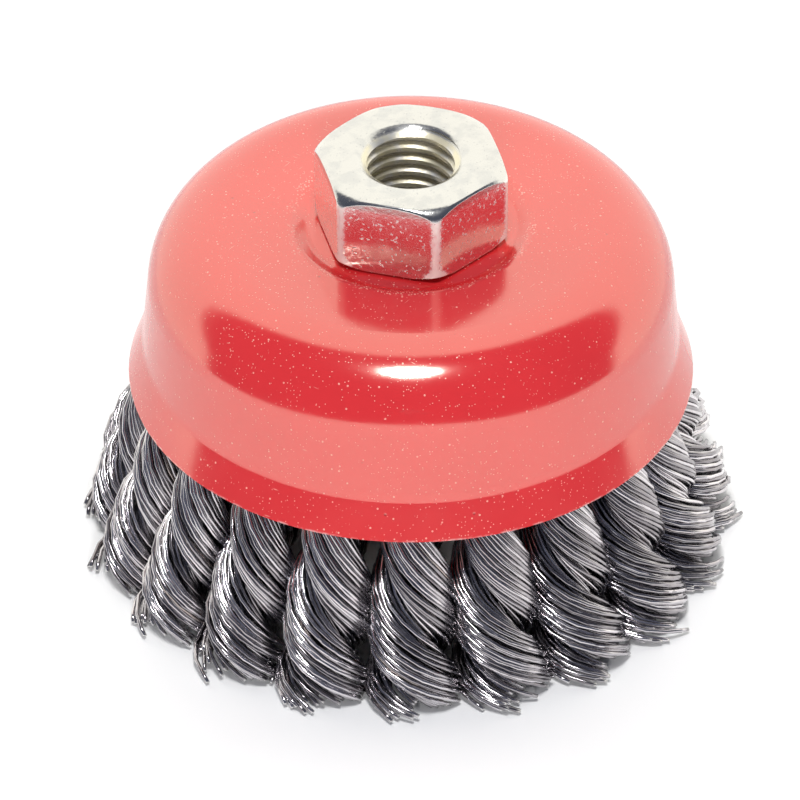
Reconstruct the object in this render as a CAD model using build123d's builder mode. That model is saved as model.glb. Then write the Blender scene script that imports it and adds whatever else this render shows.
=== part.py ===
from build123d import *
from math import atan, cos, pi, radians, sin, tan
import os

# Wire cup brush for an angle grinder: a pressed and painted steel cup, a hexagonal arbor nut riveted
# through it, and a ring of twisted wire knots, each one a hank of wire folded over the edge of the
# holder plate inside the cup. Millimetres, +Z up along the spindle. The brush stands on its wire
# tips, and the origin is on the spindle axis in the plane of the tips.

# Heights of the whole brush
trim_length = 26.4  # wire that stands below the cup's rim
top_height = 25.1  # flat top of the cup above the rim
recess_depth = 1.2  # from the flat top down to the seat of the nut

# Pressed cup: outer surface, heights above the rim
cup_wall = 1.5  # sheet thickness
rim_r = 39.3
neck_r = 37.25  # corner of the flared skirt and the bell wall
neck_height = 5.8
neck_bend = 5.0
bell_r = 35.4  # corner of the bell wall and the flat top
bell_bend = 10.7
recess_r = 16.6  # edge of the recess round the nut
seat_r = 14.4  # flat floor of the recess
recess_bend = 2.0
trim_margin = 1.0  # sheet beyond the rim before it is trimmed flat

# Arbor nut: hexagon with a hollow rivet shank
across_flats = 24.0
hex_height = 12.0
hex_direction = -15.3  # one corner, in degrees from +X
hex_edge_round = 0.8
top_land_r = 10.6  # flat ring inside the top chamfer
bottom_land_r = 12.5
chamfer_angle = 30.0
bore_r = 6.0  # crests of the M14 x 2 spindle thread
countersink_r = 7.6
countersink_angle = 60.0
shank_r = 9.0
shank_fit = 0.1  # radial clearance of what sits on the shank
rivet_r = 11.6  # head that is spread under the washer
rivet_height = 1.6
rivet_round = 0.6
bore_lead = 0.5  # chamfer at the bottom of the bore

# Clamp washer under the holder plate
washer_r = 13.6
washer_thickness = 1.2
washer_round = 0.3

# Wire knots
knot_count = 20
knot_direction = -89.6  # the first knot, in degrees from +X
knot_lean = 16.0  # of each knot's axis, outwards
fold_height = 15.5  # centre of the fold above the rim
knot_gap = 0.2  # between the strands of a knot, and between neighbouring knots
leg_r = 2.2  # half the thickness of the tight bundle of wire that passes the plate
leg_breadth = 1.1  # of a leg's section, for a thickness of 1
leg_length = 1.8  # straight part of each leg
closing_length = 7.0  # where the two legs have come together
strand_breadth = 1.7  # of a strand's section where the legs have come together
twist_rate = 11.0  # degrees for each millimetre along the knot
section_pitch = 1.6  # between the sections of a strand

# Holder plate: a saucer whose flange is square to the knots
plate_thickness = 1.8
web_width = 2.0  # ring of plate that the hanks are folded over
wire_clearance = 0.15  # between a leg and the edges of the plate
cup_clearance = 0.3  # between the knots and the skirt of the cup
fold_drop = 0.5  # from the top of the flange down to the centre of the fold
hub_r = 15.0  # corner of the flat hub
valley_margin = 1.8  # from a hole to the corner of the valley
plate_bend = 1.6

# Heights that follow
rim_z = trim_length
top_z = rim_z + top_height
seat_z = top_z - recess_depth
nut_top_z = seat_z + hex_height
hub_top_z = seat_z - cup_wall
hub_bottom_z = hub_top_z - plate_thickness
washer_bottom_z = hub_bottom_z - washer_thickness
shank_bottom_z = washer_bottom_z - rivet_height
fold_z = rim_z + fold_height

# Radii and angles that follow
hex_corner_r = across_flats / 2 / cos(pi / 6)
collar_hole_r = shank_r + shank_fit
skirt_slope = (rim_r - neck_r) / neck_height
hole_r = leg_r * leg_breadth + wire_clearance
leg_offset = web_width / 2 + hole_r
lean = radians(knot_lean)

# Two slot-shaped strands side by side reach this far from the knot's axis, for a half thickness of 1
strand_reach = 1 + (1 + (strand_breadth - 1) ** 2) ** 0.5

# The knots fill the skirt: where it is tightest, at its rim or its neck, a knot's outer side clears it
knot_share = sin(pi / knot_count)  # radius of a knot, for an axis 1 from the spindle
skirt_wall = cup_wall / cos(atan(skirt_slope))
rim_axis_r = min(
    (outer_r - skirt_wall - cup_clearance + knot_gap / 2 / cos(lean)) / (1 + knot_share / cos(lean))
    + height * tan(lean)
    for outer_r, height in ((rim_r, 0), (neck_r, neck_height))
)
fold_r = rim_axis_r - fold_height * tan(lean)


def knot_plane(direction):
    """Plane at the fold of a knot: X outwards, Z along the knot's axis and up."""
    turn = radians(direction)
    outward = Vector(cos(turn), sin(turn), 0)
    upward = Vector(0, 0, 1)
    return Plane(
        origin=outward * fold_r + upward * fold_z,
        x_dir=outward * cos(lean) + upward * sin(lean),
        z_dir=upward * cos(lean) - outward * sin(lean),
    )


def knot_side(x, z):
    """Radius and height of a point given in a knot's own plane of symmetry."""
    return (fold_r + x * cos(lean) - z * sin(lean), fold_z + x * sin(lean) + z * cos(lean))


def knot_radius(depth):
    """Radius of the whole knot at a depth below the fold: half the knots' pitch, less the gap."""
    axis_r = fold_r + max(depth, closing_length) * sin(lean)
    return axis_r * knot_share - knot_gap / 2


def strand_section(depth):
    """Thickness, breadth, offset from the knot's axis and turn of a strand at a depth."""
    closed = min((depth - leg_length) / (closing_length - leg_length), 1)
    blend = closed**2 * (3 - 2 * closed)
    half = (knot_radius(depth) - knot_gap / 2) / strand_reach
    ramp = (closing_length - leg_length) * closed**2 / 2
    return (
        2 * (leg_r + blend * (half - leg_r)),
        2 * (leg_r * leg_breadth + blend * (half * strand_breadth - leg_r * leg_breadth)),
        leg_offset + blend * (half + knot_gap / 2 - leg_offset),
        twist_rate * (ramp + max(depth - closing_length, 0)),
    )


# Cup: one pressed sheet, drawn as its outer surface and trimmed flat at the rim
with BuildPart() as cup:
    with BuildSketch(Plane.XZ):
        with BuildLine():
            cup_surface = FilletPolyline(
                (rim_r + trim_margin * skirt_slope, rim_z - trim_margin),
                (neck_r, rim_z + neck_height),
                (bell_r, top_z),
                (recess_r, top_z),
                (seat_r, seat_z),
                (collar_hole_r, seat_z),
                radius=(neck_bend, bell_bend, recess_bend, recess_bend),
            )
            offset(cup_surface, amount=cup_wall, side=Side.LEFT)
        make_face()
    revolve(axis=Axis.Z)
    split(bisect_by=Plane.XY.offset(rim_z), keep=Keep.TOP)

# Holder plate: a saucer under the cup's recess, drawn as its upper surface, with a hole for each knot
knot_directions = [knot_direction + i * 360 / knot_count for i in range(knot_count)]
flange_edge = knot_side(web_width / 2, fold_drop)
valley = knot_side(-leg_offset - hole_r - valley_margin, fold_drop)

with BuildPart() as holder_plate:
    with BuildSketch(Plane.XZ):
        with BuildLine():
            plate_surface = FilletPolyline(
                flange_edge,
                valley,
                (hub_r, hub_top_z),
                (collar_hole_r, hub_top_z),
                radius=plate_bend,
            )
            offset(plate_surface, amount=plate_thickness, side=Side.LEFT)
        make_face()
    revolve(axis=Axis.Z)
    with BuildSketch(*[knot_plane(direction) for direction in knot_directions]):
        with Locations((-leg_offset, 0)):
            Circle(hole_r)
    extrude(amount=2 * plate_thickness, both=True, mode=Mode.SUBTRACT)

# Clamp washer
with BuildPart() as clamp_washer:
    with BuildSketch(Plane.XY.offset(washer_bottom_z)):
        Circle(washer_r)
        Circle(collar_hole_r, mode=Mode.SUBTRACT)
    extrude(amount=washer_thickness)
    outer_edges = clamp_washer.edges().filter_by(GeomType.CIRCLE).group_by(SortBy.RADIUS)[-1]
    fillet(outer_edges, radius=washer_round)

# Arbor nut: hexagon chamfered at both ends, shank and rivet head, and the bore through all of it
with BuildPart() as arbor_nut:
    with BuildSketch(Plane.XY.offset(seat_z)) as hexagon:
        RegularPolygon(across_flats / 2, 6, major_radius=False, rotation=hex_direction)
        fillet(hexagon.vertices(), radius=hex_edge_round)
    extrude(amount=hex_height)
    fall = tan(radians(chamfer_angle))
    with BuildSketch(Plane.XZ):
        with BuildLine():
            Polyline(
                (0, seat_z),
                (bottom_land_r, seat_z),
                (hex_corner_r, seat_z + (hex_corner_r - bottom_land_r) * fall),
                (hex_corner_r, nut_top_z - (hex_corner_r - top_land_r) * fall),
                (top_land_r, nut_top_z),
                (0, nut_top_z),
                close=True,
            )
        make_face()
    revolve(axis=Axis.Z, mode=Mode.INTERSECT)
    with BuildSketch(Plane.XY.offset(shank_bottom_z)):
        Circle(shank_r)
    extrude(until=Until.NEXT)
    with BuildSketch(Plane.XY.offset(shank_bottom_z)):
        Circle(rivet_r)
    extrude(amount=rivet_height)
    rivet_edge = arbor_nut.edges().filter_by(GeomType.CIRCLE).group_by(Axis.Z)[0]
    fillet(rivet_edge, radius=rivet_round)
    with Locations((0, 0, nut_top_z)):
        CounterSinkHole(bore_r, countersink_r, counter_sink_angle=countersink_angle)
    bore_edge = arbor_nut.edges().filter_by(GeomType.CIRCLE).group_by(Axis.Z)[0].sort_by(SortBy.RADIUS)[0]
    chamfer(bore_edge, length=bore_lead)

# One knot: a hank of wire folded over the web of the plate and twisted as two strands down to the trim
knot_length = (fold_z + knot_radius(fold_z) * sin(lean)) / cos(lean) + section_pitch
section_count = round((knot_length - leg_length) / section_pitch)
depths = [leg_length + i * (knot_length - leg_length) / section_count for i in range(section_count + 1)]
home = knot_plane(0)

with BuildPart() as knot:
    with BuildSketch(home):
        with Locations((leg_offset, 0)):
            SlotOverall(2 * leg_r * leg_breadth, 2 * leg_r, rotation=90)
    revolve(axis=Axis(home.origin, -home.y_dir), revolution_arc=180)
    with BuildSketch(home):
        with Locations((leg_offset, 0), (-leg_offset, 0)):
            SlotOverall(2 * leg_r * leg_breadth, 2 * leg_r, rotation=90)
    extrude(amount=-leg_length)
    for phase in (0, 180):
        for depth in depths:
            thickness, breadth, offset_from_axis, turn = strand_section(depth)
            with BuildSketch(home.offset(-depth)):
                with PolarLocations(offset_from_axis, 1, start_angle=phase + turn):
                    SlotOverall(breadth, thickness, rotation=90)
        loft()
    split(bisect_by=Plane.XY, keep=Keep.TOP)

# The ring of knots
wire_knots = []
for direction in knot_directions:
    with BuildPart() as wire_knot:
        add(knot.part, rotation=(0, 0, direction))
    wire_knots.append(wire_knot)

os.makedirs("parts", exist_ok=True)
for name, piece in (
    ("cup", cup),
    ("arbor_nut", arbor_nut),
    ("holder_plate", holder_plate),
    ("clamp_washer", clamp_washer),
):
    piece.part.label = name
    export_step(piece.part, f"parts/{name}.step")
for number, piece in enumerate(wire_knots, start=1):
    piece.part.label = f"wire_knot_{number:02d}"
    export_step(piece.part, f"parts/{piece.part.label}.step")
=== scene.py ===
"""Wire cup brush for an angle grinder: red cup, threaded arbor nut and twenty twisted wire knots.

Sizes are millimetres in the classes and metres on the finished pieces. +Z is the spindle axis, and
the origin is on it, in the plane of the wire tips that the brush stands on.
"""

import logging
import math
from dataclasses import dataclass, field
from enum import Enum
from functools import reduce
from typing import Callable

import bmesh
import bpy
import numpy as np
from mathutils import Matrix, Vector


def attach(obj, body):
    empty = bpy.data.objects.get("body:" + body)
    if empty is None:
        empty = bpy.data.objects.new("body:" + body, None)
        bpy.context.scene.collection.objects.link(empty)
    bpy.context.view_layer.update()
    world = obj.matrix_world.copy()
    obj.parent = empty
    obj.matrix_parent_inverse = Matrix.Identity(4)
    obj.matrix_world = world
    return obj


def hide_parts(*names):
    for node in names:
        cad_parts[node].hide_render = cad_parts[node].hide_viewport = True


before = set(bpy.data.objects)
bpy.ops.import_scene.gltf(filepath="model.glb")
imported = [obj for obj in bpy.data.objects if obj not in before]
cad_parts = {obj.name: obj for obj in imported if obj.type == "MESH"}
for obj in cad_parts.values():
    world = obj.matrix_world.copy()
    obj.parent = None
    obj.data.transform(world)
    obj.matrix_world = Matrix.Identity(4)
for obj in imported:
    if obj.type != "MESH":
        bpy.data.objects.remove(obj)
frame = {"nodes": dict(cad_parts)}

log = logging.getLogger("cup_brush")

MM = 0.001
MM_TO_THE_METRE = 1000.0
MERGE = 0.001  # vertices closer than this, in millimetres, become one
OCTAVE_SHARE = 0.55  # strength of an octave of noise, for 1 in the one before
BODY = "root"
Colour = tuple[float, float, float, float]
Numbers = tuple[float, ...]
WHITE: Colour = (1.0, 1.0, 1.0, 1.0)


class Slot(Enum):
    """Names of material slots in the record, one for each finish of the new pieces."""

    PLATED = "plated_steel"
    WIRE = "wire"


# Shader graphs ---------------------------------------------------------------------------------


class Value:
    """A number that varies over a surface: a node's socket that takes part in Python arithmetic."""

    def __init__(self, graph: "Graph", socket: bpy.types.NodeSocket) -> None:
        """Keeps the socket and the graph that it belongs to."""
        self.graph = graph
        self.socket = socket

    def __add__(self, other: "Value | float") -> "Value":
        """Sum of this value and another."""
        return self.graph.maths("ADD", self, other)

    def __sub__(self, other: "Value | float") -> "Value":
        """Difference of this value and another."""
        return self.graph.maths("SUBTRACT", self, other)

    def __rsub__(self, other: float) -> "Value":
        """Difference with a number on the left."""
        return self.graph.maths("SUBTRACT", other, self)

    def __mul__(self, other: "Value | float") -> "Value":
        """Product of this value and another."""
        return self.graph.maths("MULTIPLY", self, other)

    def __pow__(self, other: "Value | float") -> "Value":
        """This value raised to a power."""
        return self.graph.maths("POWER", self, other)

    def most(self, other: "Value | float") -> "Value":
        """Greater of this value and another."""
        return self.graph.maths("MAXIMUM", self, other)

    def rise(self, low: float, high: float, start: float = 0.0, end: float = 1.0) -> "Value":
        """Smooth step from one level to another.

        Args:
            low: input where the step begins.
            high: input where the step ends.
            start: level before the step.
            end: level after the step.

        Returns:
            The stepped value, held at its two levels outside the step.
        """
        made = self.graph.node(
            "ShaderNodeMapRange",
            {"interpolation_type": "SMOOTHSTEP"},
            {"Value": self, "From Min": low, "From Max": high, "To Min": start, "To Max": end},
        )
        return Value(self.graph, made.outputs["Result"])


class Graph:
    """The shader nodes of one material, or of the world."""

    def __init__(self, owner: bpy.types.Material | bpy.types.World) -> None:
        """Empties the owner's node tree and adds its output node.

        Args:
            owner: the material or world to build.
        """
        owner.use_nodes = True
        self.tree = owner.node_tree
        self.tree.nodes.clear()
        kind = "World" if isinstance(owner, bpy.types.World) else "Material"
        self.output = self.tree.nodes.new(f"ShaderNodeOutput{kind}")

    def node(
        self, kind: str, settings: dict | None = None, inputs: dict | None = None
    ) -> bpy.types.Node:
        """Adds a node, sets it up and feeds its sockets.

        Args:
            kind: the node's type.
            settings: its properties; "stops" holds the positions and colours of a ramp.
            inputs: its input sockets by name or index, each with a number, a colour or a link.

        Returns:
            The new node.
        """
        made = self.tree.nodes.new(kind)
        for name, setting in (settings or {}).items():
            if name == "stops":
                ramp = made.color_ramp
                while len(ramp.elements) < len(setting):
                    ramp.elements.new(0.5)
                for stop, (position, colour) in zip(ramp.elements, setting):
                    stop.position, stop.color = position, colour
            else:
                setattr(made, name, setting)
        for name, given in (inputs or {}).items():
            if isinstance(given, Value):
                self.tree.links.new(given.socket, made.inputs[name])
            elif isinstance(given, bpy.types.NodeSocket):
                self.tree.links.new(given, made.inputs[name])
            else:
                made.inputs[name].default_value = given
        return made

    def maths(self, operation: str, *operands: Value | float) -> Value:
        """Adds a Math node.

        Args:
            operation: the node's operation.
            operands: values or numbers, in order.

        Returns:
            The result.
        """
        made = self.node("ShaderNodeMath", {"operation": operation}, dict(enumerate(operands)))
        return Value(self, made.outputs[0])

    def place(self) -> bpy.types.NodeSocket:
        """Object coordinates, in metres."""
        return self.node("ShaderNodeTexCoord").outputs["Object"]

    def stretched(self, scale: tuple[float, float, float]) -> bpy.types.NodeSocket:
        """Object coordinates scaled along each axis.

        Args:
            scale: factor for each axis.

        Returns:
            The scaled coordinates.
        """
        made = self.node(
            "ShaderNodeMapping", {"vector_type": "POINT"}, {"Vector": self.place(), "Scale": scale}
        )
        return made.outputs["Vector"]

    def attribute(self, name: str) -> Value:
        """Number that each vertex holds under a name."""
        made = self.node("ShaderNodeAttribute", {"attribute_name": name})
        return Value(self, made.outputs["Fac"])

    def noise(
        self, scale: float, detail: float = 3.0, where: bpy.types.NodeSocket | None = None
    ) -> Value:
        """Fractal noise.

        Args:
            scale: features to the metre, or to the unit of the coordinates given.
            detail: octaves.
            where: coordinates, or None for object coordinates.

        Returns:
            Noise from 0 to 1.
        """
        inputs = {
            "Vector": where or self.place(),
            "Scale": scale,
            "Detail": detail,
            "Roughness": OCTAVE_SHARE,
        }
        return Value(self, self.node("ShaderNodeTexNoise", None, inputs).outputs[0])

    def specks(
        self,
        scale: float,
        size: float,
        share: float,
        soften: float = 0.6,
        where: bpy.types.NodeSocket | None = None,
    ) -> Value:
        """Small scattered dots.

        Args:
            scale: cells to the metre, each with one dot at most.
            size: radius of a dot, as a share of a cell.
            share: part of the cells whose dots show.
            soften: where the soft edge of a dot begins, as a share of its radius.
            where: coordinates, or None for object coordinates.

        Returns:
            1 inside the dots and 0 between them.
        """
        grid = {"Vector": where or self.place(), "Scale": scale}
        cells = self.node("ShaderNodeTexVoronoi", None, grid)
        tone = self.node("ShaderNodeSeparateColor", None, {"Color": cells.outputs["Color"]})
        chosen = Value(self, tone.outputs[0]).rise(1 - share, 1 - share + 0.01)
        dot = Value(self, cells.outputs["Distance"]).rise(size * soften, size, 1.0, 0.0)
        return dot * chosen

    def scratches(self, turn: float, length: float, width: float, share: float) -> Value:
        """Short straight scratches that all run one way.

        Args:
            turn: their direction about the spindle axis, in radians.
            length: cells to the metre along them.
            width: cells to the metre across them.
            share: part of the cells that hold one.

        Returns:
            1 on the scratches and 0 between them.
        """
        turned = self.node(
            "ShaderNodeVectorRotate",
            {"rotation_type": "Z_AXIS"},
            {"Vector": self.place(), "Angle": turn},
        )
        where = self.node(
            "ShaderNodeMapping",
            {"vector_type": "POINT"},
            {"Vector": turned.outputs[0], "Scale": (length, width, (length * width) ** 0.5)},
        )
        return self.specks(
            scale=1.0, size=0.13, share=share, soften=0.3, where=where.outputs[0]
        )

    def blend(
        self, share: Value, first: Colour | bpy.types.NodeSocket, second: Colour
    ) -> bpy.types.NodeSocket:
        """Mixes two colours.

        Args:
            share: part of the second colour.
            first: colour or link where the share is 0.
            second: colour where the share is 1.

        Returns:
            The mixed colour.
        """
        # A Mix node has sockets for every data type: 0 is the factor, 6, 7 and out 2 are colours
        made = self.node("ShaderNodeMix", {"data_type": "RGBA"}, {0: share, 6: first, 7: second})
        return made.outputs[2]

    def across(self) -> tuple[Value, Value]:
        """Distance from the spindle axis and height above the floor, in metres."""
        parts = self.node("ShaderNodeSeparateXYZ", None, {0: self.place()})
        x, y, z = (Value(self, socket) for socket in parts.outputs)
        return (x * x + y * y) ** 0.5, z

    def bump(self, height: Value, distance: float, strength: float = 1.0) -> bpy.types.NodeSocket:
        """Normal of a surface with fine relief.

        Args:
            height: relief from 0 to 1.
            distance: depth of the relief, in metres.
            strength: share of the relief that is used.

        Returns:
            The normal.
        """
        inputs = {"Height": height, "Distance": distance, "Strength": strength}
        return self.node("ShaderNodeBump", None, inputs).outputs[0]

    def close(self, kind: str, inputs: dict) -> None:
        """Adds the shader and joins it to the output.

        Args:
            kind: the shader's node type.
            inputs: its sockets, as in node().
        """
        shader = self.node(kind, None, inputs)
        self.tree.links.new(shader.outputs[0], self.output.inputs[0])


# Finishes --------------------------------------------------------------------------------------


@dataclass(frozen=True)
class RedPaint:
    """Glossy red stoving paint with dust in it, fine scratches, and a rim that is rubbed bare."""

    colour: Colour = (0.70, 0.026, 0.031, 1.0)
    deep_colour: Colour = (0.63, 0.021, 0.026, 1.0)
    dust_colour: Colour = (0.90, 0.52, 0.42, 1.0)
    # dark red painted into the dents as shade
    dent_shade_colour: Colour = (0.30, 0.03, 0.03, 1.0)
    bare_colour: Colour = (0.80, 0.62, 0.58, 1.0)
    gloss_tint: Colour = (1.0, 0.93, 0.80, 1.0)
    gloss_ior: float = 2.35
    rim_height: float = 26.4
    wear_height: float = 0.32
    crease_radius: float = 16.6
    ring_square: float = 0.9  # square of the half width of the ring of dust in the crease
    fine_dust: Numbers = (2300.0, 0.22, 0.4)
    coarse_dust: Numbers = (950.0, 0.16, 0.3)
    ring_dust: Numbers = (2600.0, 0.42, 0.8)
    dents: Numbers = (330.0, 0.09, 0.2, 0.3)
    scratches: tuple[Numbers, ...] = (
        (0.5, 200.0, 2600.0, 0.3),
        (-0.9, 150.0, 2400.0, 0.24),
        (1.7, 240.0, 2800.0, 0.24),
    )
    relief_depth: float = 0.04

    def make(self) -> bpy.types.Material:
        """Builds the material."""
        made = bpy.data.materials.new("red_paint")
        graph = Graph(made)
        radius, height = graph.across()
        tone = graph.noise(45.0, 2.0)
        base = graph.blend(tone.rise(0.35, 0.7) * 0.5, self.colour, self.deep_colour)
        near_crease = (radius - self.crease_radius * MM) * MM_TO_THE_METRE
        ring = (near_crease * near_crease).rise(0.0, self.ring_square, 1.0, 0.0)
        crowd = graph.noise(38.0, 2.0).rise(0.36, 0.62)
        fine = graph.specks(*self.fine_dust) * (crowd * 0.75 + 0.25)
        coarse = graph.specks(*self.coarse_dust)
        on_ring = graph.specks(*self.ring_dust) * ring * graph.noise(300.0, 2.0).rise(0.38, 0.55)
        spots = fine.most(coarse).most(on_ring)
        base = graph.blend(spots * 0.6, base, self.dust_colour)
        scratch = reduce(Value.most, (graph.scratches(*way) for way in self.scratches))
        scratch = scratch * graph.noise(60.0, 2.0).rise(0.35, 0.6)
        base = graph.blend(scratch * 0.5, base, self.dust_colour)
        # Painted shade: the dents are darkened as well as pressed into the relief.
        dents = graph.specks(*self.dents)
        base = graph.blend(dents * 0.7, base, self.dent_shade_colour)
        above = (height - self.rim_height * MM) * MM_TO_THE_METRE
        wear = above.rise(0.0, self.wear_height, 1.0, 0.0)
        wear = wear * graph.noise(700.0, 4.0).rise(0.4, 0.7)
        base = graph.blend(wear * 0.7, base, self.bare_colour)
        relief = graph.noise(260.0, 2.0) * 0.5 + graph.noise(1600.0, 2.0) * 0.05 + spots * 0.35
        graph.close(
            "ShaderNodeBsdfPrincipled",
            {
                "Base Color": base,
                "Roughness": spots * 0.3 + scratch * 0.22 + graph.noise(120.0, 3.0) * 0.12 + 0.08,
                "IOR": self.gloss_ior,
                "Specular Tint": self.gloss_tint,
                "Normal": graph.bump(
                    relief - dents * 1.2 - scratch * 0.25, self.relief_depth * MM, 0.6
                ),
            },
        )
        return made


@dataclass(frozen=True)
class BrightPlating:
    """Bright zinc plating with fine speckle, yellowed down in the thread, with painted highlights
    on its worn corners and a painted reflection on its sides.
    """

    colour: Colour = (0.66, 0.65, 0.62, 1.0)
    dull_colour: Colour = (0.55, 0.55, 0.54, 1.0)
    thread_colour: Colour = (0.80, 0.74, 0.56, 1.0)
    pit_colour: Colour = (0.30, 0.29, 0.31, 1.0)
    # paler copy of the plating for the sides below the top: a painted reflection
    side_sheen_colour: Colour = (0.90, 0.88, 0.86, 1.0)
    # pale colour of the worn corners and nicks; on the corners it is partly a painted highlight
    wear_and_highlight_colour: Colour = (0.86, 0.80, 0.74, 1.0)
    bore_radius: float = 7.0
    bore_edge: float = 0.5
    corner_radius: float = 13.33
    corner_width: float = 0.35
    raggedness: float = 0.5
    foot_height: float = 51.0
    foot_rise: float = 2.0
    foot_shift: float = 0.5
    side_top: tuple[float, float] = (60.6, 61.2)
    nicked: tuple[float, float] = (10.0, 11.0)  # radii between which nicks set in
    relief_depth: float = 0.05

    def make(self) -> bpy.types.Material:
        """Builds the material."""
        made = bpy.data.materials.new("bright_plating")
        graph = Graph(made)
        radius, height = graph.across()
        bore_start = self.bore_radius - self.bore_edge
        inside = radius.rise(bore_start * MM, self.bore_radius * MM, 1.0, 0.0)
        cloud = graph.noise(420.0, 4.0)
        base = graph.blend(cloud.rise(0.42, 0.66) * 0.6, self.colour, self.dull_colour)
        low, high = self.side_top
        below_top = height.rise(low * MM, high * MM, 1.0, 0.0)
        # Painted reflection: the sides below the top take the paler side colour, so that they
        # reflect brighter than the top.
        base = graph.blend(below_top, base, self.side_sheen_colour)
        base = graph.blend(inside * cloud.rise(0.3, 0.6), base, self.thread_colour)
        pits = graph.specks(2200.0, 0.24, 0.3)
        base = graph.blend(pits * 0.4, base, self.pit_colour)
        # Painted highlight, partly corner wear: a pale, less metallic band down each corner of the
        # sides, widened towards the foot, stands in for the bright highlight on the vertical edges.
        above_foot = height - self.foot_height * MM
        foot = above_foot.rise(0.0, self.foot_rise * MM, self.foot_shift * MM, 0.0)
        ragged = radius + foot + graph.noise(1500.0, 3.0) * (self.raggedness * MM)
        ragged = ragged - self.raggedness / 2 * MM
        corner_end = self.corner_radius + self.corner_width
        corner = ragged.rise(self.corner_radius * MM, corner_end * MM)
        near, far = self.nicked
        nicks = graph.noise(1900.0, 2.0).rise(0.6, 0.68) * below_top
        nicks = nicks * radius.rise(near * MM, far * MM)
        wear_and_highlight = (corner * below_top * 0.85).most(nicks * 0.45)
        base = graph.blend(wear_and_highlight, base, self.wear_and_highlight_colour)
        grain = graph.noise(2300.0, 3.0)
        relief = grain * 0.5 + graph.noise(900.0, 2.0) * 0.8 - pits * 0.4 + nicks * 0.6
        graph.close(
            "ShaderNodeBsdfPrincipled",
            {
                "Base Color": base,
                "Metallic": 1.0 - wear_and_highlight * 0.75 - inside * 0.25,
                "Roughness": cloud * 0.14 + grain * 0.08 + wear_and_highlight * 0.2 + inside * 0.12 + 0.09,
                "Normal": graph.bump(relief, self.relief_depth * MM, 0.5),
            },
        )
        return made


@dataclass(frozen=True)
class PressedSteel:
    """Plain rolled steel sheet, grey and a little stained."""

    colour: Colour = (0.40, 0.39, 0.385, 1.0)
    stain_colour: Colour = (0.22, 0.19, 0.17, 1.0)
    grain: tuple[float, float, float] = (2600.0, 130.0, 2600.0)
    relief_depth: float = 0.03

    def make(self) -> bpy.types.Material:
        """Builds the material."""
        made = bpy.data.materials.new("pressed_steel")
        graph = Graph(made)
        cloud = graph.noise(160.0, 5.0)
        base = graph.blend(cloud.rise(0.45, 0.7) * 0.7, self.colour, self.stain_colour)
        rolled = graph.noise(1.0, 3.0, graph.stretched(self.grain))
        graph.close(
            "ShaderNodeBsdfPrincipled",
            {
                "Base Color": base,
                "Metallic": 1.0,
                "Roughness": cloud * 0.2 + rolled * 0.15 + 0.25,
                "Normal": graph.bump(rolled, self.relief_depth * MM, 0.4),
            },
        )
        return made


@dataclass(frozen=True)
class DrawnWire:
    """Drawn carbon steel wire: each wire has its own tone, and its cut end is bright."""

    dark: Colour = (0.28, 0.262, 0.275, 1.0)
    pale: Colour = (0.80, 0.77, 0.79, 1.0)
    rust: Colour = (0.33, 0.26, 0.21, 1.0)
    cut: Colour = (0.75, 0.74, 0.72, 1.0)

    def make(self) -> bpy.types.Material:
        """Builds the material, which reads the attributes that WireKnot writes."""
        made = bpy.data.materials.new("drawn_wire")
        graph = Graph(made)
        tone, end = graph.attribute("tone"), graph.attribute("tip")
        streak = graph.noise(700.0, 3.0)
        base = graph.blend((tone * 0.75 + streak * 0.35).rise(0.1, 1.0), self.dark, self.pale)
        base = graph.blend(tone.rise(0.97, 0.98) * 0.7, base, self.rust)
        base = graph.blend(end.rise(0.6, 0.95) * 0.8, base, self.cut)
        graph.close(
            "ShaderNodeBsdfPrincipled",
            {
                "Base Color": base,
                "Metallic": 1.0,
                "Roughness": streak * 0.12 + 0.12,
            },
        )
        return made


# Pieces ----------------------------------------------------------------------------------------


def finish_piece(
    name: str, mesh: bpy.types.Mesh, material: bpy.types.Material, slot: Slot, nodes: list[str]
) -> bpy.types.Object:
    """Puts a finished mesh into the scene as a piece of the brush.

    Args:
        name: the piece's name.
        mesh: its mesh, in metres and in place.
        material: its finish.
        slot: the record's material slot for it; not used.
        nodes: CAD nodes that it stands for.

    Returns:
        The piece.
    """
    mesh.materials.clear()
    mesh.materials.append(material)
    piece = bpy.data.objects.new(name, mesh)
    bpy.context.scene.collection.objects.link(piece)
    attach(piece, BODY)
    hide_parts(*nodes)
    log.info("%s: %d faces, stands for %s", name, len(mesh.polygons), ", ".join(nodes))
    return piece


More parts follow.
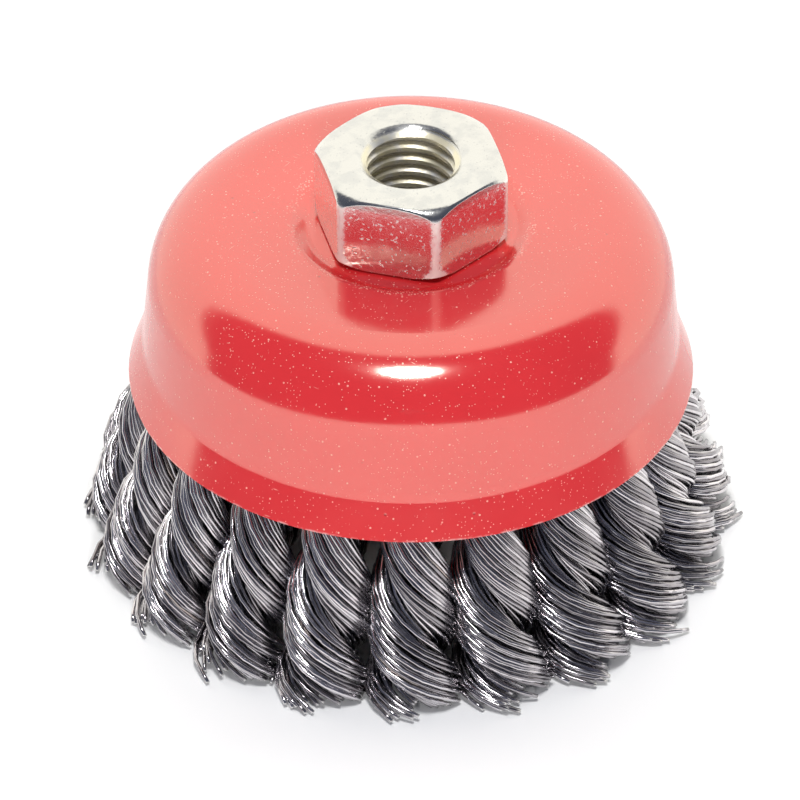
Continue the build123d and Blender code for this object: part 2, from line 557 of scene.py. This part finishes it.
@dataclass
class ArborNut:
    """Hexagonal arbor nut with its threaded bore, hollow rivet shank and spread rivet head."""

    seat: float = 50.3
    top: float = 62.3
    across_flats: float = 24.0
    corner_round: float = 1.5
    edge_round: float = 0.3
    direction: float = math.radians(-15.3)
    top_land: float = 10.6
    bottom_land: float = 12.5
    fall: float = math.tan(math.radians(30.0))
    countersink: float = 7.6
    countersink_slope: float = math.tan(math.radians(37.0))
    countersink_ease: float = 0.12
    chamfer_stations: Numbers = (0.3, 0.5, 0.66, 0.8)
    washer_face: float = 11.2
    washer_face_height: float = 0.3
    thread_minor: float = 6.0
    thread_major: float = 7.0
    pitch: float = 2.0
    flank_angle: float = math.radians(30.0)
    crest_share: float = 0.66
    turns_below: int = 2
    turns_spare: int = 3
    sharp_angle: float = math.radians(32.0)
    blank_bore: float = 5.7
    shank: float = 9.0
    rivet: float = 11.6
    rivet_top: float = 45.8
    rivet_bottom: float = 44.2
    rivet_round: float = 0.6
    steps: int = 360
    thread_steps: int = 60

    def hexagon_reach(self, angle: float) -> float:
        """Radius of the hexagon with rounded corners.

        Args:
            angle: direction from +X, in radians.

        Returns:
            Distance from the axis to the outline.
        """
        flat = self.across_flats / 2
        turn = (angle - self.direction + math.pi / 6) % (math.pi / 3) - math.pi / 6
        centre = (flat - self.corner_round) / math.cos(math.pi / 6)
        plain = flat / math.cos(math.pi / 6 - abs(turn))
        rounded = centre * math.cos(turn) + math.sqrt(
            max(self.corner_round**2 - (centre * math.sin(turn)) ** 2, 0.0)
        )
        arc_end = centre + self.corner_round * math.cos(math.pi / 6)
        start = math.atan2(self.corner_round * 0.5, arc_end)
        return rounded if abs(turn) < start else plain

    def outline(self, reach: float) -> list[tuple[float, float]]:
        """Radius and height of the points round the nut, where the hexagon has a given reach.

        Args:
            reach: radius of the hexagon there.

        Returns:
            Points from the bore's top outwards, down and back to the bore's top.
        """
        ease = self.edge_round
        corner = self.across_flats / 2 / math.cos(math.pi / 6)
        bend = self.fall / (corner - self.top_land) ** 2

        def chamfer(radius: float) -> tuple[float, float]:
            """Point of the top chamfer, which bends down towards the corners."""
            return radius, self.top - bend * (radius - self.top_land) ** 3

        edge = reach - self.top_land
        shoulder = chamfer(reach)[1]
        under = self.seat + self.washer_face_height
        foot = under + max(reach - self.bottom_land, 0.0) * self.fall
        foot_reach = min(self.bottom_land, reach - 0.02)
        soft = self.rivet_round
        sink = self.countersink_ease
        sink_depth = (self.countersink - self.blank_bore) * self.countersink_slope
        return [
            (self.blank_bore, self.top - sink_depth),
            (self.countersink - sink, self.top - sink * self.countersink_slope),
            (self.countersink, self.top - sink / 2),
            (self.countersink + sink, self.top),
            (self.top_land, self.top),
            *(chamfer(self.top_land + edge * share) for share in self.chamfer_stations),
            chamfer(reach - ease * 0.9),
            (reach - ease * 0.28, shoulder - ease * 0.05),
            (reach - ease * 0.05, shoulder - ease * 0.4),
            (reach, shoulder - ease),
            (reach, foot + ease),
            (reach - ease * 0.06, foot + ease * 0.4),
            (reach - ease * 0.3, foot + ease * 0.06),
            (foot_reach - ease, under),
            (self.washer_face, under),
            (self.washer_face, self.seat),
            (self.shank, self.seat),
            (self.shank, self.rivet_top),
            (self.rivet - soft * 0.3, self.rivet_top),
            (self.rivet, self.rivet_top - soft * 0.3),
            (self.rivet, self.rivet_bottom + soft),
            (self.rivet - soft * 0.3, self.rivet_bottom + soft * 0.3),
            (self.rivet - soft, self.rivet_bottom),
            (self.thread_minor + 0.5, self.rivet_bottom),
            (self.blank_bore, self.rivet_bottom + 0.8),
        ]

    def blank(self) -> bmesh.types.BMesh:
        """The nut before it is threaded: one outline spun round and pushed out to the hexagon."""
        form = bmesh.new()
        station = form.verts.layers.int.new("station")
        ring = []
        for number, (radius, height) in enumerate(self.outline(self.across_flats / 2)):
            ring.append(form.verts.new((radius, 0.0, height)))
            ring[-1][station] = number
        for first, second in zip(ring, ring[1:] + ring[:1]):
            form.edges.new((first, second))
        bmesh.ops.spin(
            form,
            geom=form.verts[:] + form.edges[:],
            cent=(0, 0, 0),
            axis=(0, 0, 1),
            angle=2 * math.pi,
            steps=self.steps,
            use_merge=True,
        )
        for corner in form.verts:
            angle = math.atan2(corner.co.y, corner.co.x)
            radius, height = self.outline(self.hexagon_reach(angle))[corner[station]]
            corner.co = (radius * math.cos(angle), radius * math.sin(angle), height)
        form.verts.layers.int.remove(station)
        bmesh.ops.recalc_face_normals(form, faces=form.faces[:])
        return form

    def tap(self) -> bmesh.types.BMesh:
        """The core that cuts the thread: one turn's profile spun up a helix, with closed ends."""
        form = bmesh.new()
        depth = self.thread_major - self.thread_minor
        flank = depth * math.tan(self.flank_angle)
        crest = (self.pitch - 2 * flank) * self.crest_share
        bottom = self.rivet_bottom - self.turns_below * self.pitch
        turns = math.ceil((self.top - self.rivet_bottom) / self.pitch) + self.turns_spare
        profile = (
            (self.thread_minor, 0.0),
            (self.thread_minor, crest),
            (self.thread_major, crest + flank),
            (self.thread_major, self.pitch - flank),
            (self.thread_minor, self.pitch),
        )
        line = [form.verts.new((radius, 0.0, bottom + height)) for radius, height in profile]
        for first, second in zip(line, line[1:]):
            form.edges.new((first, second))
        bmesh.ops.spin(
            form,
            geom=form.verts[:] + form.edges[:],
            cent=(0, 0, 0),
            axis=(0, 0, 1),
            dvec=(0, 0, self.pitch / self.thread_steps),
            angle=2 * math.pi * turns,
            steps=self.thread_steps * turns,
        )
        bmesh.ops.remove_doubles(form, verts=form.verts[:], dist=MERGE)
        bmesh.ops.holes_fill(form, edges=[edge for edge in form.edges if edge.is_boundary], sides=0)
        bmesh.ops.triangulate(form, faces=[face for face in form.faces if len(face.verts) > 4])
        bmesh.ops.recalc_face_normals(form, faces=form.faces[:])
        return form

    def build(self, material: bpy.types.Material) -> bpy.types.Object:
        """Threads the blank and puts the nut in place.

        Args:
            material: its finish.

        Returns:
            The piece.
        """
        holders = []
        for name, form in (("nut_blank", self.blank()), ("nut_tap", self.tap())):
            bmesh.ops.scale(form, vec=(MM, MM, MM), verts=form.verts[:])
            mesh = bpy.data.meshes.new(name)
            form.to_mesh(mesh)
            form.free()
            holder = bpy.data.objects.new(name, mesh)
            bpy.context.scene.collection.objects.link(holder)
            holders.append(holder)
        nut, tap = holders
        cut = nut.modifiers.new("thread", "BOOLEAN")
        cut.operation, cut.solver, cut.object = "DIFFERENCE", "EXACT", tap
        evaluated = nut.evaluated_get(bpy.context.evaluated_depsgraph_get())
        threaded = bpy.data.meshes.new_from_object(evaluated)
        for holder in holders:
            bpy.data.objects.remove(holder)
        threaded.shade_smooth()
        threaded.set_sharp_from_angle(angle=self.sharp_angle)
        return finish_piece("threaded_arbor_nut", threaded, material, Slot.PLATED, ["arbor_nut"])


@dataclass(frozen=True)
class WirePath:
    """How one half of a wire runs in its strand."""

    phase: float
    share: float
    angle: float
    lag: float
    flare: float
    release: float
    wave: tuple[float, float]


@dataclass
class WireKnot:
    """One knot: a hank of wires folded over the holder plate and twisted as two strands.

    A stray wire is one of a few that leave their strand near the tip. Angles are in radians, apart
    from lag and stray_lag, which are in degrees.
    """

    number: int
    count: int = 20
    first_direction: float = math.radians(-89.6)
    lean: float = math.radians(16.0)
    fold_radius: float = 27.72
    fold_height: float = 41.9
    rim_height: float = 26.4
    leg_radius: float = 2.2
    leg_offset: float = 3.57
    leg_length: float = 1.8
    closing: float = 7.0
    gap: float = 0.2
    wire: float = 0.6
    layers: tuple[tuple[float, int], ...] = ((1.0, 30), (0.74, 17), (0.4, 7))
    layer_depth: tuple[float, float] = (0.9, 1.0)
    jitter: float = 0.12
    outline_points: int = 361
    rim_turn: float = math.radians(129.0)
    rim_power: float = 1.35
    rim_rate: float = math.radians(8.0)
    tip_rate: float = math.radians(11.5)
    rate_power: float = 1.6
    waist: float = 0.84
    waist_depth: float = 0.45
    fullness: float = 1.12
    strand_centre: float = 0.46
    strand_half: tuple[float, float] = (0.52, 0.77)
    strand_corner: float = 2.3
    sway: tuple[float, float] = (0.05, 0.28)
    sway_rates: tuple[float, float] = (0.33, 0.29)
    lag: float = 7.0
    flare: float = 0.02
    flare_range: tuple[float, float] = (0.3, 1.5)
    release: tuple[float, float] = (0.15, 1.3)
    cut_spread: float = 0.5
    stray_share: float = 0.045
    stray_lag: float = 24.0
    stray_flare: float = 1.9
    stray_release: float = 1.3
    stray_cut: float = 2.0
    trim_rounds: int = 6
    longest: float = 1.15
    crowding: float = 1.45
    point: float = 0.03
    visible_steps: int = 15
    hidden_steps: int = 4
    fold_steps: int = 3

    def __post_init__(self) -> None:
        """Works out the knot's direction, its depths and its own random numbers."""
        self.direction = self.first_direction + (self.number - 1) * 2 * math.pi / self.count
        self.rim_depth = (self.fold_height - self.rim_height) / math.cos(self.lean)
        self.tip_depth = self.fold_height / math.cos(self.lean)
        self.chance = np.random.default_rng(400 + self.number)

    def radius(self, depth: np.ndarray) -> np.ndarray:
        """Radius of the whole knot at some depths: half the pitch, narrower about the rim."""
        axis = self.fold_radius + np.maximum(depth, self.closing) * math.sin(self.lean)
        opened = np.clip(self.progress(depth) / self.waist_depth, 0.0, 1.0)
        narrow = self.waist + (self.fullness - self.waist) * opened * (2 - opened)
        return narrow * (axis * math.sin(math.pi / self.count) - self.gap / 2 - self.wire / 2)

    def progress(self, depth: np.ndarray) -> np.ndarray:
        """Share of the way from the rim down to the tips, 0 above the rim."""
        below = (depth - self.rim_depth) / (self.tip_depth - self.rim_depth)
        return np.clip(below, 0.0, self.longest)

    def turn(self, depth: np.ndarray) -> np.ndarray:
        """Turn of the strands about the knot's axis at some depths, faster towards the tips.

        Args:
            depth: depths below the fold.

        Returns:
            Angles in radians.
        """
        span = self.tip_depth - self.rim_depth
        below = self.progress(depth)
        power = self.rate_power
        swept = self.rim_rate * below + self.tip_rate * below ** (power + 1) / (power + 1)
        above = np.clip((depth - self.leg_length) / (self.rim_depth - self.leg_length), 0.0, 1.0)
        return self.rim_turn * above**self.rim_power + span * swept

    def outline(self, angle: np.ndarray) -> np.ndarray:
        """Reach of a closed strand's rounded section from its centre, for a knot of radius 1.

        Args:
            angle: directions in the strand's section, 0 away from the knot's axis.

        Returns:
            Distances to the outline.
        """
        thick, broad = self.strand_half
        power = self.strand_corner
        outwards = np.abs(np.cos(angle) / thick) ** power
        sideways = np.abs(np.sin(angle) / broad) ** power
        return (outwards + sideways) ** (-1 / power)

    def spread(self, amount: int) -> np.ndarray:
        """Directions that space a number of wires evenly along the outline."""
        angles = np.linspace(-math.pi, math.pi, self.outline_points)
        reach = self.outline(angles)
        steps = np.hypot(np.diff(reach * np.cos(angles)), np.diff(reach * np.sin(angles)))
        run = np.concatenate(([0.0], np.cumsum(steps)))
        marks = np.arange(amount) + self.chance.uniform(0, 1)
        marks = (marks + self.chance.normal(0, self.jitter, amount)) / amount
        return np.interp(marks % 1.0 * run[-1], run, angles)

    def hank(self) -> list[np.ndarray]:
        """Paths of all the wires in the knot's own axes, each from tip to tip over the fold.

        Returns:
            One array of points for each wire: outwards, sideways, and up the knot's axis.
        """
        paths = []
        for share, amount in self.layers:
            for angle in self.spread(amount):
                reach = share * self.chance.uniform(*self.layer_depth)
                down, up = self.half(0.0, reach, angle), self.half(math.pi, reach, -angle)
                across, side, _ = down[0]
                rise = np.linspace(0.0, math.pi, self.fold_steps + 2)[1:-1]
                level = np.full_like(rise, side)
                fold = np.stack((across * np.cos(rise), level, across * np.sin(rise)), axis=1)
                paths.append(np.concatenate((down[::-1], fold, up)))
        return paths

    def half(self, phase: float, share: float, angle: float) -> np.ndarray:
        """One half of a wire, in one of the two strands.

        Args:
            phase: direction of its strand's leg about the knot's axis.
            share: how far out it lies in the strand, from 0 to 1.
            angle: its direction in the strand's section.

        Returns:
            Points in the knot's own axes, from the fold to a point just beyond the tip.
        """
        pick = self.chance
        stray = pick.random() < self.stray_share
        way = WirePath(
            phase=phase,
            share=share,
            angle=angle,
            lag=pick.normal(0, math.radians(self.stray_lag if stray else self.lag)),
            flare=self.flare
            * pick.uniform(*self.flare_range)
            * (self.stray_flare if stray else 1.0),
            release=pick.uniform(*self.release) * (self.stray_release if stray else 1.0),
            wave=tuple(pick.uniform(0, 2 * math.pi, 2)),
        )
        cut = abs(pick.normal(0, self.cut_spread)) * (self.stray_cut if stray else 1.0) + self.wire
        length = self.tip_depth + 1.5  # a first guess, which each round brings nearer the cut
        for _ in range(self.trim_rounds):
            depth = self.depths(length)
            across, side = self.section(depth, way)
            drop = self.fold_height - cut + across[-1] * math.sin(self.lean)
            length = drop / math.cos(self.lean)
        points = np.stack((across, side, -depth), axis=1)
        last = points[-1] - points[-2]
        return np.concatenate((points, [points[-1] + last / np.linalg.norm(last) * self.point]))

    def depths(self, length: float) -> np.ndarray:
        """Depths of a wire's points, closer together towards its tip."""
        hidden = np.linspace(0.0, self.rim_depth, self.hidden_steps, endpoint=False)
        seen = 1 - (1 - np.linspace(0.0, 1.0, self.visible_steps + 1)) ** self.crowding
        return np.concatenate((hidden, self.rim_depth + seen * (length - self.rim_depth)))

    def section(self, depth: np.ndarray, way: WirePath) -> tuple[np.ndarray, np.ndarray]:
        """Place of a wire across the knot at its depths.

        Args:
            depth: depths below the fold.
            way: the wire's own course.

        Returns:
            Distances outwards and sideways.
        """
        closed = np.clip((depth - self.leg_length) / (self.closing - self.leg_length), 0.0, 1.0)
        closed = closed**2 * (3 - 2 * closed)
        below = self.progress(depth)
        whole = self.radius(depth) * (1 + way.flare * below**4)
        centre = self.leg_offset + closed * (self.strand_centre * whole - self.leg_offset)
        leg_reach = self.leg_radius - self.wire / 2
        strand_reach = self.outline(np.array(way.angle)) * whole
        reach = way.share * (leg_reach + closed * (strand_reach - leg_reach))
        least, more = self.sway
        sway = (least + more * below**2) * np.clip(depth / self.closing, 0.0, 1.0)
        rates, waves = self.sway_rates, way.wave
        across = centre + reach * math.cos(way.angle) + sway * np.sin(rates[0] * depth + waves[0])
        side = reach * math.sin(way.angle) + sway * np.sin(rates[1] * depth + waves[1])
        leave = np.array(depth[-1] - way.release)
        loose = np.maximum(self.turn(depth) - self.turn(leave), 0.0)
        held = self.turn(np.minimum(depth, leave))
        turned = way.phase + held + np.arctan(loose) + way.lag * below**2
        grown = np.sqrt(1 + loose**2)
        return (
            (across * np.cos(turned) - side * np.sin(turned)) * grown,
            (across * np.sin(turned) + side * np.cos(turned)) * grown,
        )

    def placing(self) -> Matrix:
        """Transform from the knot's own axes to the brush, in metres."""
        leaning = Matrix.Rotation(-self.lean, 4, "Y")
        at_fold = Matrix.Translation((self.fold_radius, 0.0, self.fold_height))
        return Matrix.Scale(MM, 4) @ Matrix.Rotation(self.direction, 4, "Z") @ at_fold @ leaning

    def build(self, material: bpy.types.Material) -> bpy.types.Object:
        """Draws every wire as a thin tube and puts the knot in place.

        Args:
            material: its finish.

        Returns:
            The piece.
        """
        name = f"knot_wires_{self.number:02d}"
        curve = bpy.data.curves.new(name, "CURVE")
        curve.dimensions = "3D"
        curve.bevel_depth = self.wire / 2
        curve.bevel_resolution = 1
        tones, tips = [], []
        for path in self.hank():
            ends = np.zeros(len(path), dtype=bool)
            ends[[0, -1]] = True
            spline = curve.splines.new("POLY")
            spline.points.add(len(path) - 1)
            spline.points.foreach_set("co", np.column_stack((path, np.ones(len(path)))).ravel())
            spline.points.foreach_set("radius", np.where(ends, 0.0, 1.0))
            tones.append(np.full(len(path), self.chance.random()))
            tips.append(ends | np.roll(ends, 1) | np.roll(ends, -1))
        drawn = bpy.data.objects.new(name, curve)
        mesh = bpy.data.meshes.new_from_object(drawn)
        bpy.data.objects.remove(drawn)
        sides = len(mesh.vertices) // sum(map(len, tones))
        for label, given in (("tone", tones), ("tip", tips)):
            each = np.repeat(np.concatenate(given).astype(np.float32), sides)
            mesh.attributes.new(label, "FLOAT", "POINT").data.foreach_set("value", each)
        form = bmesh.new()
        form.from_mesh(mesh)
        bmesh.ops.remove_doubles(form, verts=form.verts[:], dist=MERGE)
        form.to_mesh(mesh)
        form.free()
        mesh.transform(self.placing())
        mesh.shade_smooth()
        if self.number == 1:
            log.info("first knot: %d points, %d vertices", sum(map(len, tones)), len(mesh.vertices))
        return finish_piece(name, mesh, material, Slot.WIRE, [f"wire_knot_{self.number:02d}"])


@dataclass
class FrameFinishes:
    """Finishes of the CAD nodes that are shown as they are."""

    finishes: dict[str, Callable[[], bpy.types.Material]] = field(
        default_factory=lambda: {
            "cup": RedPaint().make,
            "holder_plate": PressedSteel().make,
            "clamp_washer": PressedSteel().make,
        }
    )

    def apply(self, nodes: dict[str, bpy.types.Object]) -> None:
        """Gives each node its finish.

        Args:
            nodes: the frame's nodes by name.
        """
        for name, make in self.finishes.items():
            node = nodes[name]
            if not node.material_slots:
                node.data.materials.append(None)
            for place in node.material_slots:
                place.material = make()
            log.info("%s: finished as it stands", name)


# Studio ----------------------------------------------------------------------------------------


@dataclass
class Studio:
    """White table and soft light: bright walls behind the brush, a dark room round the camera.

    The dark room ends where "back" of a direction is edge_slope * up + edge_bulge * (1 - up) *
    up ** edge_power.
    """

    camera_place: tuple[float, float, float] = (0.0, -770.7, 624.1)
    camera_down: float = math.radians(38.09)
    lens: float = 315.0
    sensor: float = 36.0
    shift: float = -0.01365
    clip: tuple[float, float] = (0.01, 20.0)
    table_half_width: float = 175.0
    table_front: float = 600.0
    table_back: float = 250.0
    table_colour: Colour = (0.97, 0.97, 0.97, 1.0)
    table_roughness: float = 0.9
    wall_colour: Colour = (1.44, 1.42, 1.33, 1.0)
    room_colour: Colour = (0.09, 0.10, 0.14, 1.0)
    edge_slope: float = 0.12
    edge_bulge: float = 1.3
    edge_power: float = 1.5
    edge_soft: float = 0.05
    lamp_distance: float = 1600.0
    lamp_radius: float = 215.0
    lamp_height: float = math.radians(72.0)
    lamp_power: float = 14.2
    fill_radius: float = 112.0
    fill_height: float = math.radians(15.0)
    fill_power: float = 13.0

    def camera(self) -> None:
        """Sets up the camera at the photograph's angle."""
        data = bpy.data.cameras.new("camera")
        data.lens, data.sensor_width = self.lens, self.sensor
        data.shift_x = self.shift
        data.clip_start, data.clip_end = self.clip
        made = bpy.data.objects.new("camera", data)
        made.location = Vector(self.camera_place) * MM
        made.rotation_euler = (math.pi / 2 - self.camera_down, 0.0, 0.0)
        bpy.context.scene.collection.objects.link(made)
        bpy.context.scene.camera = made

    def floor(self) -> None:
        """Lays the oval white table that the brush stands on."""
        length = (self.table_front + self.table_back) / 2
        form = bmesh.new()
        bmesh.ops.create_circle(form, cap_ends=True, segments=128, radius=1.0)
        size = (self.table_half_width * MM, length * MM, 1.0)
        middle = (0.0, (self.table_back - length) * MM, 0.0)
        bmesh.ops.scale(form, vec=size, verts=form.verts[:])
        bmesh.ops.translate(form, vec=middle, verts=form.verts[:])
        mesh = bpy.data.meshes.new("floor")
        form.to_mesh(mesh)
        form.free()
        material = bpy.data.materials.new("white_table")
        finish = {"Base Color": self.table_colour, "Roughness": self.table_roughness}
        Graph(material).close("ShaderNodeBsdfPrincipled", finish)
        mesh.materials.append(material)
        made = bpy.data.objects.new("floor", mesh)
        bpy.context.scene.collection.objects.link(made)

    def lamp(self, name: str, radius: float, height: float, power: float) -> bpy.types.Object:
        """Hangs a round lamp in front of the brush, aimed at it.

        Args:
            name: the lamp's name.
            radius: its radius.
            height: its angle above the table, in radians.
            power: its power in watts.

        Returns:
            The lamp.
        """
        data = bpy.data.lights.new(name, "AREA")
        data.shape, data.size, data.energy = "DISK", 2 * radius * MM, power
        made = bpy.data.objects.new(name, data)
        made.location = Vector((0.0, -math.cos(height), math.sin(height))) * self.lamp_distance * MM
        made.rotation_euler = (math.pi / 2 - height, 0.0, 0.0)
        bpy.context.scene.collection.objects.link(made)
        return made

    def surroundings(self) -> None:
        """Lights the scene from behind and from the sides, and shows plain white to the camera."""
        world = bpy.data.worlds.new("studio")
        bpy.context.scene.world = world
        graph = Graph(world)
        toward = graph.node("ShaderNodeTexCoord").outputs["Generated"]
        parts = graph.node("ShaderNodeSeparateXYZ", None, {0: toward})
        _, back, up = (Value(graph, socket) for socket in parts.outputs)
        up = up.most(0.0)
        edge = up * self.edge_slope + (1.0 - up) * up**self.edge_power * self.edge_bulge
        bright = (back - edge).rise(-self.edge_soft, self.edge_soft)
        colour = graph.blend(bright, self.room_colour, self.wall_colour)
        seen = Value(graph, graph.node("ShaderNodeLightPath").outputs["Is Camera Ray"])
        colour = graph.blend(seen, colour, WHITE)
        graph.close("ShaderNodeBackground", {"Color": colour, "Strength": 1.0})

    def set_up(self) -> None:
        """Builds the camera, the floor and the light."""
        self.camera()
        self.floor()
        self.lamp("lamp", self.lamp_radius, self.lamp_height, self.lamp_power)
        fill = self.lamp("fill_lamp", self.fill_radius, self.fill_height, self.fill_power)
        fill.visible_glossy = False
        self.surroundings()
        bpy.context.scene.view_settings.view_transform = "Standard"
        log.info("studio: camera, floor and surroundings")


def main() -> None:
    """Builds the brush on the frame, sets up the studio and reports each piece."""
    logging.basicConfig(level=logging.INFO, format="%(message)s")
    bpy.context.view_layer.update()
    Studio().set_up()
    FrameFinishes().apply(frame["nodes"])
    ArborNut().build(BrightPlating().make())
    wire = DrawnWire().make()
    knots = [WireKnot(number) for number in range(1, WireKnot.count + 1)]
    for knot in knots:
        knot.build(wire)


if __name__ == "__main__":
    main()
